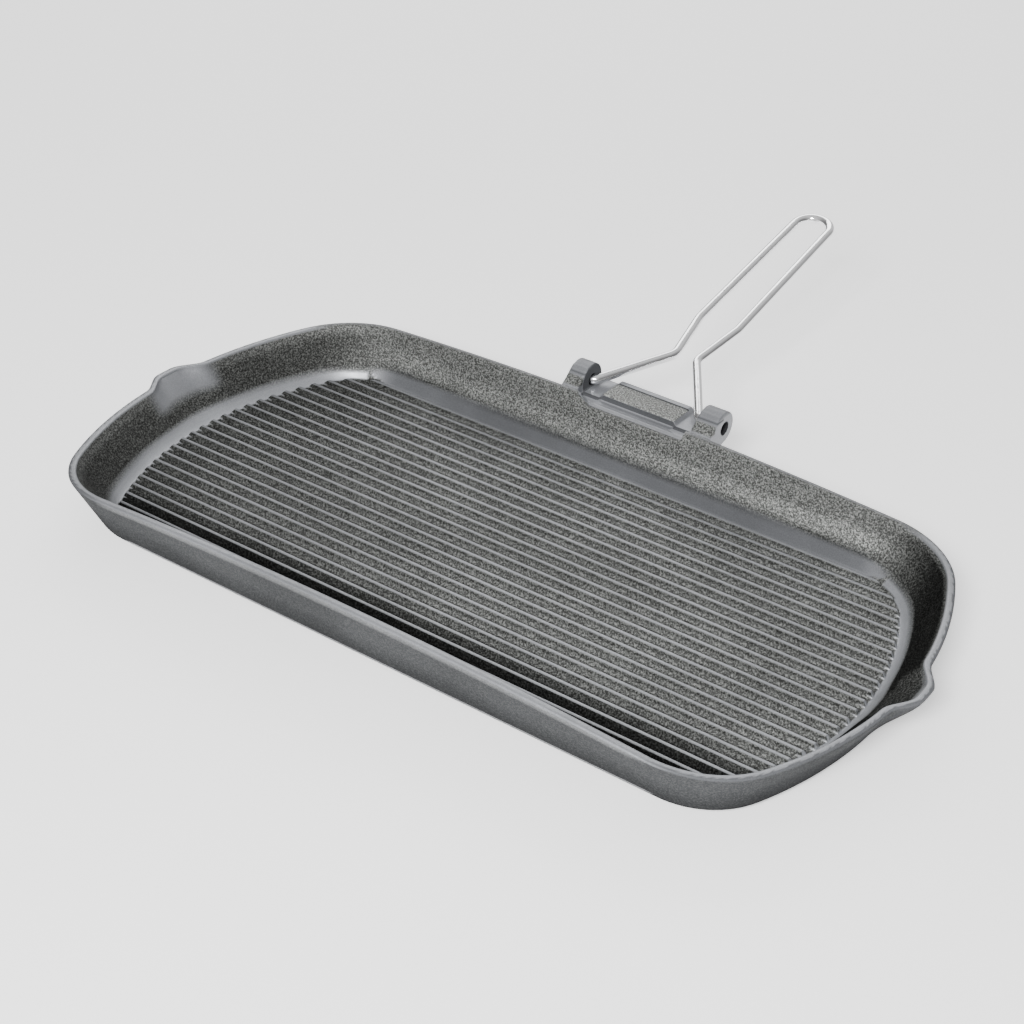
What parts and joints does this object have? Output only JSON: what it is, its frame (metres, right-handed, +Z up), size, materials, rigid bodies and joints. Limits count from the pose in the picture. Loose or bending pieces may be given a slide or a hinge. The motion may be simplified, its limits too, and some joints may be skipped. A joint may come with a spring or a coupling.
{
  "type": "grill pan",
  "caption": "Rectangular ribbed cast-iron grill pan with a pouring spout at each end and a folding wire handle hinged on one long side.",
  "frame": {"origin": "centre of the pan's flat underside", "axes": "+X along the pan's long side, +Y towards the hinge lugs and the handle, +Z up"},
  "size_m": [0.496, 0.4727, 0.087],
  "materials": {
    "cast_iron": "sand-cast grain, dark grey, smooth on the rim and the floor's edge",
    "chrome_wire": "bright chrome plating on round steel wire"
  },
  "bodies": {
    "pan": {"pan_casting": "cast_iron"},
    "handle": {"wire_handle": "chrome_wire"}
  },
  "joints": [
    {"name": "handle_fold", "type": "hinge", "parent": "pan", "child": "handle", "pos_m": [0, 0.1428, 0.0408], "axis": [1, 0, 0], "range_deg": [0, 172]}
  ]
}
